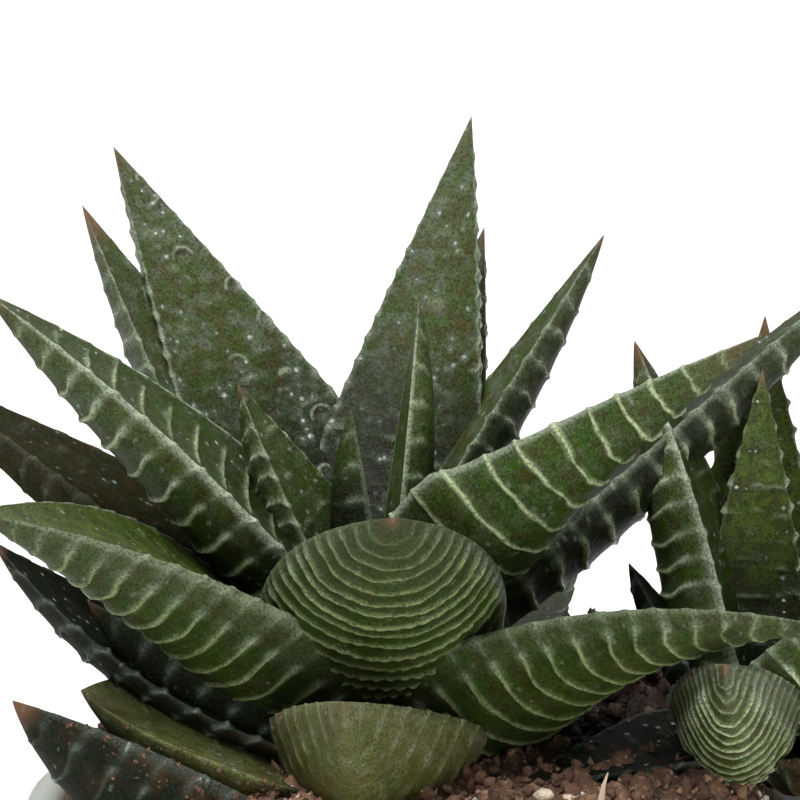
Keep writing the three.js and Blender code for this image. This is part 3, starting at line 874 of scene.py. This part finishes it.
def leaf_crumb_places(piece, count, seed):
    """Crumbs and dust that cling to the lower part of a leaf, mostly along its margins."""
    chance = np.random.default_rng(seed)
    places = []
    for _ in range(count):
        s = np.array(chance.uniform(0.05, 0.9) ** 1.2)
        u = math.copysign(1 - chance.exponential(0.05), chance.uniform(-1, 1))
        u = max(-1.0, min(1.0, u))
        point, across, out = leaf_frame(piece, s)
        half = half_width(piece, s)
        edge = MARGIN_THICKNESS * half
        depth = (thickness(piece, s) + edge) * (1 - u * u) ** SECTION_POWER
        size = 0.1 + 0.24 * chance.random() ** 2.5
        tint = CRUMB_TINTS[min(int(chance.exponential(0.8)), 1)]
        places.append((point + across * (u * half) + out * (edge - depth), size, tint))
    return places


def make_sliver(material):
    """A dried leaf tip that stands in the soil at the front: a flattened, slightly bent cone."""
    bpy.ops.object.select_all(action="DESELECT")
    bpy.ops.mesh.primitive_cone_add(vertices=8, radius1=SLIVER_RADIUS * MM,
                                    radius2=SLIVER_TIP_RADIUS * MM, depth=SLIVER_LENGTH * MM,
                                    location=[v * MM for v in SLIVER_AT])
    sliver = bpy.context.object
    bpy.ops.object.transform_apply(location=True)
    bpy.ops.object.mode_set(mode="EDIT")
    bpy.ops.mesh.select_all(action="SELECT")
    bpy.ops.mesh.subdivide(number_cuts=3)
    bpy.ops.object.mode_set(mode="OBJECT")
    foot = (SLIVER_AT[2] - SLIVER_LENGTH / 2) * MM
    middle = SLIVER_AT[1] * MM
    for vertex in sliver.data.vertices:
        rise = (vertex.co.z - foot) / (SLIVER_LENGTH * MM)
        vertex.co.x += (SLIVER_LEAN * rise * rise + 0.12 * noise.noise(vertex.co * 900)) * MM
        vertex.co.y = middle + SLIVER_FLATNESS * (vertex.co.y - middle)
    sliver.name = "dried_sliver"
    sliver.data.name = "dried_sliver"
    finish_piece(sliver, material, "leaf")


def dry_material():
    """Dead leaf tissue: papery, pale tan and matt, with lengthwise streaks."""
    material, tree, shader = new_material("dried_leaf_tissue")
    place = add_node(tree, "ShaderNodeTexCoord").outputs["Object"]
    stretched = add_node(tree, "ShaderNodeMapping", {"Vector": place, "Scale": (1.0, 1.0, 0.2)})
    streaks = add_node(tree, "ShaderNodeTexNoise",
                       {"Vector": stretched.outputs[0], "Scale": 1800.0, "Detail": 3.0})
    colour = add_node(tree, "ShaderNodeMix",
                      {0: streaks.outputs[0], 6: linear("#7d6750"), 7: linear("#d3c3ad")},
                      data_type="RGBA")
    tree.links.new(colour.outputs[2], shader.inputs["Base Color"])
    shader.inputs["Roughness"].default_value = 0.85
    bump = add_node(tree, "ShaderNodeBump",
                    {"Height": streaks.outputs[0], "Strength": 0.6, "Distance": 0.0001})
    tree.links.new(bump.outputs[0], shader.inputs["Normal"])
    return material


# Pot

def pot_profile():
    """Radius and height from the middle of the base, up the outside, over the lip and down inside."""
    profile = [(20.0, 0.0), (POT_BASE_RADIUS - 0.9, 0.0), (POT_BASE_RADIUS - 0.2, 0.25),
               (POT_BASE_RADIUS + 0.2, 0.9), (POT_BASE_RADIUS + 1.4, POT_FOOT_HEIGHT + 1.6)]
    profile += POT_WALL
    profile.append((POT_WALL_RADIUS, 71.0))
    lip_height = POT_HEIGHT - POT_LIP_RADIUS
    for step in range(11):
        angle = math.radians(-30 + step * 22)
        profile.append((POT_LIP_CENTRE_RADIUS + POT_LIP_RADIUS * math.cos(angle),
                        lip_height + POT_LIP_RADIUS * math.sin(angle)))
    profile += [(SOIL_RADIUS + 0.36, SOIL_EDGE_HEIGHT - 4.5), (38.6, 66.0),
                (POT_INNER_BASE_RADIUS + 1, POT_FLOOR + 3), (POT_INNER_BASE_RADIUS, POT_FLOOR)]
    return profile


def make_pot(material):
    """The pot, thrown from a disc: each ring is extruded from the last and set to its radius."""
    profile = pot_profile()
    bpy.ops.object.select_all(action="DESELECT")
    bpy.ops.mesh.primitive_circle_add(vertices=POT_SECTORS, radius=profile[0][0] * MM,
                                      fill_type="TRIFAN", location=(0, 0, profile[0][1] * MM))
    pot = bpy.context.object
    bpy.ops.object.transform_apply(location=True)
    bpy.ops.object.mode_set(mode="EDIT")
    bpy.ops.mesh.select_mode(type="EDGE")
    bpy.ops.mesh.select_all(action="DESELECT")
    bpy.ops.mesh.select_non_manifold()
    last_radius, last_height = profile[0]
    for radius, height in profile[1:]:
        bpy.ops.mesh.extrude_edges_move(
            TRANSFORM_OT_translate={"value": (0, 0, (height - last_height) * MM)})
        scale = radius / last_radius
        bpy.ops.transform.resize(value=(scale, scale, 1), center_override=(0, 0, height * MM))
        last_radius, last_height = radius, height
    bpy.ops.mesh.fill()
    bpy.ops.mesh.select_all(action="SELECT")
    bpy.ops.mesh.normals_make_consistent(inside=False)
    bpy.ops.object.mode_set(mode="OBJECT")
    pot.name = "glazed_pot"
    pot.data.name = "glazed_pot"
    finish_piece(pot, material, "pot", "pot")
    select_only(pot)
    bpy.ops.object.shade_smooth_by_angle(angle=math.radians(50))


def pot_material():
    """Stoneware under a pale grey gloss glaze, a little thicker and cooler in places."""
    material, tree, shader = new_material("pale_grey_glaze")
    place = add_node(tree, "ShaderNodeTexCoord").outputs["Object"]
    clouds = add_node(tree, "ShaderNodeTexNoise",
                      {"Vector": place, "Scale": 60.0, "Detail": 3.0, "Roughness": 0.55})
    specks = add_node(tree, "ShaderNodeTexNoise",
                      {"Vector": place, "Scale": 900.0, "Detail": 2.0, "Roughness": 0.6})
    tone = add_node(tree, "ShaderNodeMix",
                    {0: clouds.outputs[0], 6: linear("#abafa8"), 7: linear("#bec2bb")},
                    data_type="RGBA")
    speck = add_node(tree, "ShaderNodeMapRange",
                     {"Value": specks.outputs[0], "From Min": 0.68, "From Max": 0.76,
                      "To Max": 0.35})
    glaze = add_node(tree, "ShaderNodeMix",
                     {0: speck.outputs[0], 6: tone.outputs[2], 7: linear("#8d8f86")},
                     data_type="RGBA")
    tree.links.new(glaze.outputs[2], shader.inputs["Base Color"])
    shader.inputs["Roughness"].default_value = 0.16
    shader.inputs["IOR"].default_value = 1.52
    bump = add_node(tree, "ShaderNodeBump",
                    {"Height": clouds.outputs[0], "Strength": 0.12, "Distance": 0.0006})
    tree.links.new(bump.outputs[0], shader.inputs["Normal"])
    return material


# Stage

def make_stage():
    bpy.ops.object.select_all(action="DESELECT")
    bpy.ops.mesh.primitive_plane_add(size=8)
    floor = bpy.context.object
    floor.name = "pale_floor"
    material, tree, shader = new_material("pale_studio_paper")
    grain = add_node(tree, "ShaderNodeTexNoise",
                     {"Vector": add_node(tree, "ShaderNodeTexCoord").outputs["Object"],
                      "Scale": 40.0})
    paper = add_node(tree, "ShaderNodeMix",
                     {0: grain.outputs[0], 6: linear("#fbfbfa"), 7: linear("#ffffff")},
                     data_type="RGBA")
    tree.links.new(paper.outputs[2], shader.inputs["Base Color"])
    shader.inputs["Roughness"].default_value = 0.9
    floor.data.materials.append(material)

    world = bpy.data.worlds.new("studio_air")
    bpy.context.scene.world = world
    world.use_nodes = True
    world.node_tree.nodes["Background"].inputs["Color"].default_value = STUDIO_AIR
    world.node_tree.nodes["Background"].inputs["Strength"].default_value = STUDIO_AIR_STRENGTH


def area_light(name, at, aim, size, power, colour):
    """A square soft light at a place in millimetres, aimed at a point."""
    light = bpy.data.lights.new(name, "AREA")
    light.size = size * MM
    light.energy = power
    light.color = colour
    lamp = bpy.data.objects.new(name, light)
    lamp.location = [v * MM for v in at]
    way = Vector(aim) - Vector(at)
    lamp.rotation_euler = way.to_track_quat("-Z", "Y").to_euler()
    bpy.context.collection.objects.link(lamp)


def make_camera():
    data = bpy.data.cameras.new("camera")
    data.lens = CAMERA_LENS
    data.sensor_width = CAMERA_SENSOR
    data.clip_start = 0.02
    camera = bpy.data.objects.new("camera", data)
    camera.location = [v * MM for v in CAMERA_AT]
    camera.rotation_euler = (math.radians(90 - CAMERA_TILT), 0, 0)
    bpy.context.collection.objects.link(camera)
    bpy.context.scene.camera = camera


make_camera()
make_stage()
bpy.context.scene.view_settings.view_transform = "Standard"
for light in LIGHTS:
    area_light(*light)

leaf_materials = {kind: leaf_material(skin["name"], skin) for kind, skin in SKINS.items()}
rosettes = (("main_leaf", MAIN_LEAVES, MAIN_CENTRE), ("back_leaf", BACK_LEAVES, MAIN_CENTRE),
            ("offset_leaf", OFFSET_LEAVES, OFFSET_CENTRE))
for group, (name, leaves, centre) in enumerate(rosettes):
    for number, piece in enumerate(leaves, start=1):
        piece["centre"] = centre
        if name == "offset_leaf":
            piece["columns"] = OFFSET_COLUMNS
            piece["pitch"] = min(piece["pitch"], OFFSET_PITCH)
            piece["ridge"] = min(piece["ridge"], OFFSET_RIDGE)
        make_leaf(f"{name}_{number:02d}", piece, 100 * group + number, leaf_materials)

for stem in ("main_stem", "offset_stem"):
    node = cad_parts[stem]
    node.data.materials.clear()
    node.data.materials.append(leaf_materials["old"])

make_soil(soil_material())
grains = crumb_shapes()
loose = crumb_material()
placed = [(np.array([x, y, height]), grain, tint) for x, y, height, grain, tint in PLACED_GRAINS]
make_crumbs("loose_crumbs", soil_crumb_places(11, *COARSE_CRUMBS) + placed, grains, loose, 12)
make_crumbs("fine_crumbs", soil_crumb_places(14, *FINE_CRUMBS), grains, loose, 15)
clinging = []
for piece, count, seed in CLINGING_CRUMBS:
    clinging += leaf_crumb_places(piece, count, seed)
make_crumbs("clinging_crumbs", clinging, grains, loose, 13)
make_sliver(dry_material())
make_pot(pot_material())
